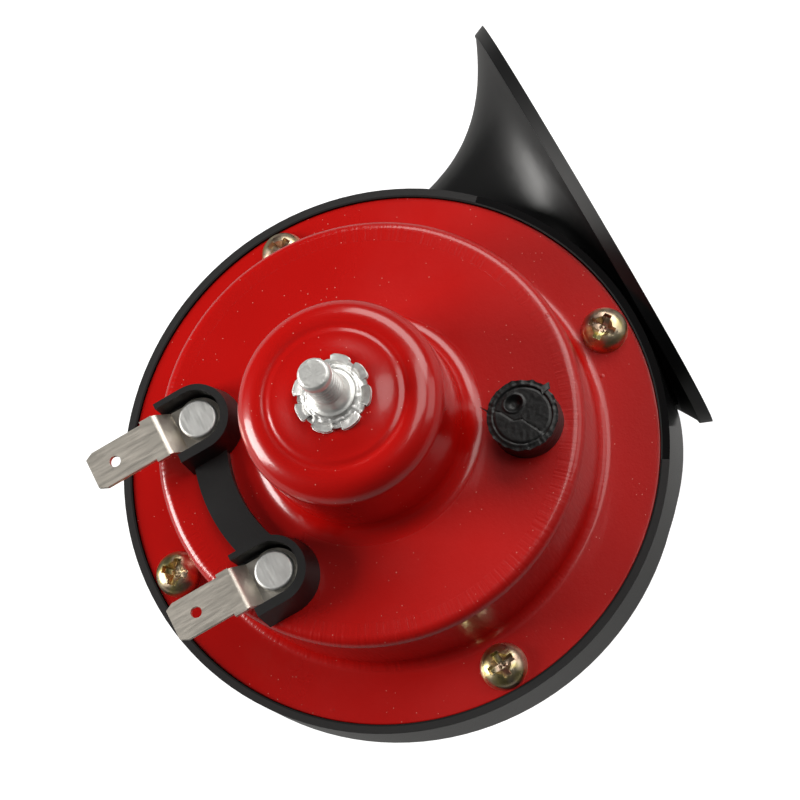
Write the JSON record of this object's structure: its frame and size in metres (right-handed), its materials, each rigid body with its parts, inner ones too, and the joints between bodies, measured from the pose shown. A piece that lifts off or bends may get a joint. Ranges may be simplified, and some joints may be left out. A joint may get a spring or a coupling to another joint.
{
  "type": "car horn",
  "caption": "Electric snail horn with pressed rear cover, moulded spiral volute and flared bell, two spade terminals and a threaded mounting stud.",
  "frame": {"origin": "middle of the hub's seat on the rear cover, where a mounting bracket bears", "axes": "+Z along the stud, away from the horn; +X the way the bell's mouth faces; +Y the side of the mouth that stands out furthest"},
  "size_m": [0.093, 0.1109, 0.0934],
  "materials": {
    "red_paint": "gloss red paint with a slight orange peel",
    "volute_plastic": "polished black moulding",
    "insulator_plastic": "fine grained black moulding",
    "plug_rubber": "matte black, torn on top",
    "plated_steel": "bright zinc plated steel",
    "zinc_washer": "bright zinc plated steel",
    "yellow_zinc": "yellow passivated zinc, iridescent",
    "nickel": "nickel plated strip",
    "rivet_aluminium": "plain aluminium",
    "gasket_paper": "sealing paper",
    "spring_steel": "spring steel sheet",
    "bobbin_plastic": "natural nylon",
    "copper_wire": "enamelled copper wire, wound solid",
    "contact_metal": "tungsten contact",
    "brass_arm": "brass strip",
    "insulating_board": "laminated insulating board"
  },
  "bodies": {
    "horn": {"adjuster_nut": "plated_steel", "adjusting_screw": "plated_steel", "coil_bobbin": "bobbin_plastic", "coil_plate": "plated_steel", "coil_terminal": "nickel", "coil_winding": "copper_wire", "contact_bracket": "brass_arm", "contact_spacer": "insulating_board", "contact_terminal": "nickel", "contact_washer": "insulating_board", "cover_gasket": "gasket_paper", "cover_screw_1": "yellow_zinc", "cover_screw_2": "yellow_zinc", "cover_screw_3": "yellow_zinc", "cover_screw_4": "yellow_zinc", "diaphragm": "spring_steel", "fixed_contact": "contact_metal", "inner_insulator": "insulating_board", "pole_core": "plated_steel", "rear_cover": "red_paint", "sealing_plug": "plug_rubber", "star_washer": "zinc_washer", "terminal_insulator": "insulator_plastic", "terminal_rivet_1": "rivet_aluminium", "terminal_rivet_2": "rivet_aluminium", "volute_body": "volute_plastic", "volute_front": "volute_plastic", "volute_gasket": "gasket_paper"},
    "striker": {"armature": "plated_steel", "diaphragm_washer": "plated_steel", "front_washer": "plated_steel"},
    "breaker": {"contact_spring": "spring_steel", "moving_contact": "contact_metal"}
  },
  "joints": [
    {"name": "armature_slide", "type": "slide", "parent": "horn", "child": "striker", "axis": [0, 0, 1], "range_m": [0, 0.0006], "stiffness_N_per_m": 2000, "deforming": ["diaphragm"]},
    {"name": "breaker_hinge", "type": "hinge", "parent": "horn", "child": "breaker", "pos_m": [-0.0176, -0.01305, -0.02285], "axis": [0, -1, 0], "range_deg": [0, 2.2], "deforming": ["contact_spring"]}
  ],
  "couplings": [
    {"joint": "breaker_hinge", "follows": "armature_slide", "rad_per_m": 56.8}
  ]
}
